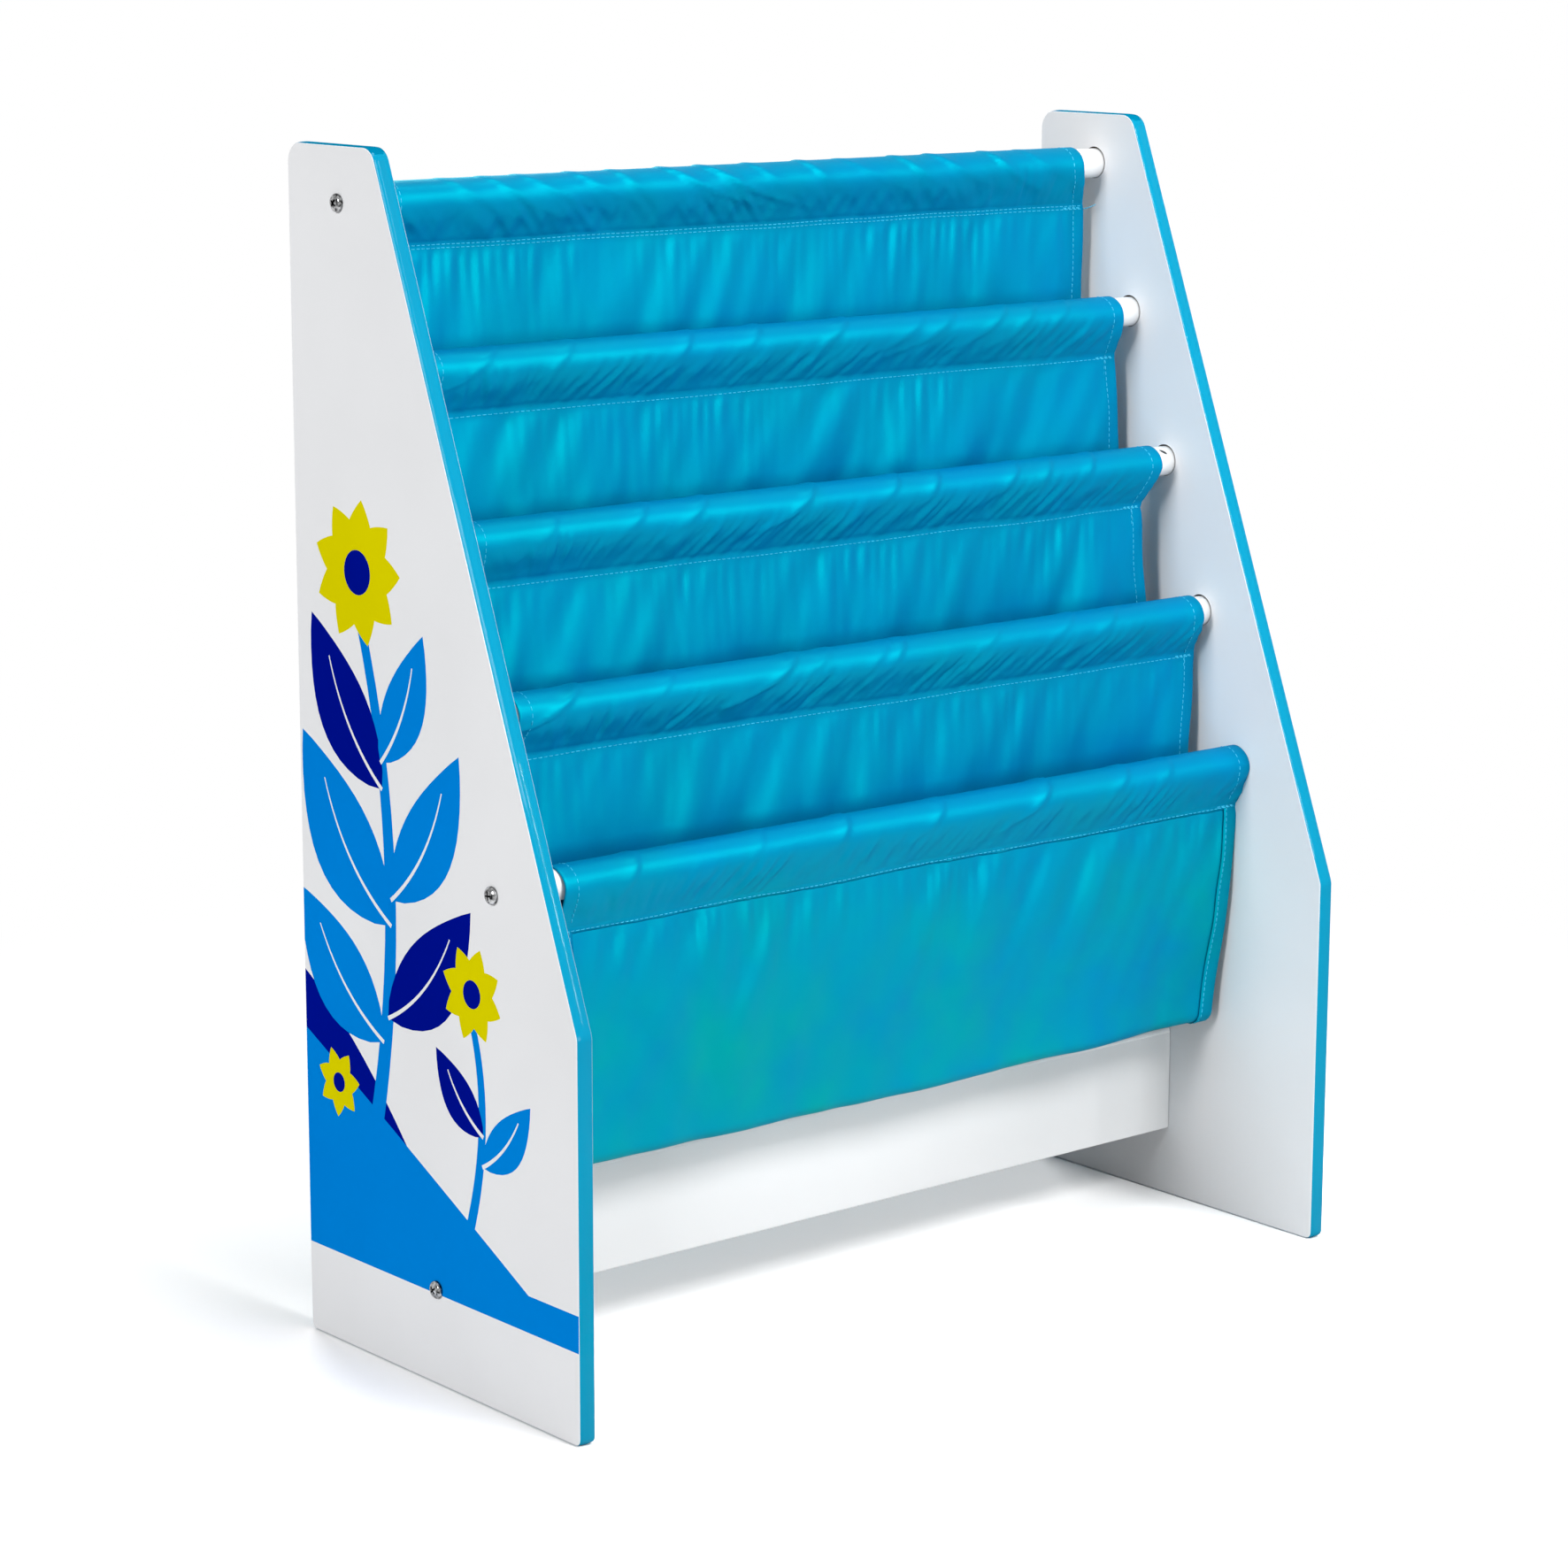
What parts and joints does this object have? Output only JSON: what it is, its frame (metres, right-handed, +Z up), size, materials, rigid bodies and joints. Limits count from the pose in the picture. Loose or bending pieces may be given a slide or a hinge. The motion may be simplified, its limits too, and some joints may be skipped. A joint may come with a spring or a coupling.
{
  "type": "sling bookshelf",
  "caption": "Children's bookshelf: two slanted side panels joined by round rails and a low bar, with a cloth sling that hangs from the rails in pockets for books.",
  "frame": {"origin": "centre of the bounding box's bottom face: on the floor, midway between the side panels and between their front and back edges", "axes": "+Z up, +X to the right as seen from the front, +Y to the back; the slanted front faces -Y"},
  "size_m": [0.5142, 0.226, 0.6],
  "materials": {
    "panel_board": "painted fibreboard, satin white faces and a glossy blue painted edge",
    "painted_wood": "satin white paint",
    "dowel_wood": "bare beech",
    "sling_cloth": "thin plain-woven polyester with a slight shine",
    "screw_metal": "zinc-plated steel, polished heads"
  },
  "bodies": {
    "frame": {"side_panel_left": "panel_board", "side_panel_right": "panel_board", "cross_bar": "painted_wood", "rail_1": "painted_wood", "rail_5": "painted_wood", "rail_1_screw_left": "screw_metal", "rail_1_screw_right": "screw_metal", "rail_5_screw_left": "screw_metal", "rail_5_screw_right": "screw_metal", "cross_bar_screw_left": "screw_metal", "cross_bar_screw_right": "screw_metal", "locating_dowel_left": "dowel_wood", "locating_dowel_right": "dowel_wood", "sleeve_1": "sling_cloth", "sleeve_2": "sling_cloth", "sleeve_3": "sling_cloth", "sleeve_4": "sling_cloth", "sleeve_5": "sling_cloth", "pocket_1": "sling_cloth", "pocket_2": "sling_cloth", "pocket_3": "sling_cloth", "pocket_4": "sling_cloth"},
    "rail_2": {"rail_2": "painted_wood"},
    "rail_3": {"rail_3": "painted_wood"},
    "rail_4": {"rail_4": "painted_wood"}
  },
  "joints": [
    {"name": "rail_2_spin", "type": "hinge", "parent": "frame", "child": "rail_2", "pos_m": [0, 0.0409, 0.4934], "axis": [1, 0, 0], "continuous": true},
    {"name": "rail_3_spin", "type": "hinge", "parent": "frame", "child": "rail_3", "pos_m": [0, 0.0113, 0.4142], "axis": [1, 0, 0], "continuous": true},
    {"name": "rail_4_spin", "type": "hinge", "parent": "frame", "child": "rail_4", "pos_m": [0, -0.0182, 0.335], "axis": [1, 0, 0], "continuous": true}
  ]
}
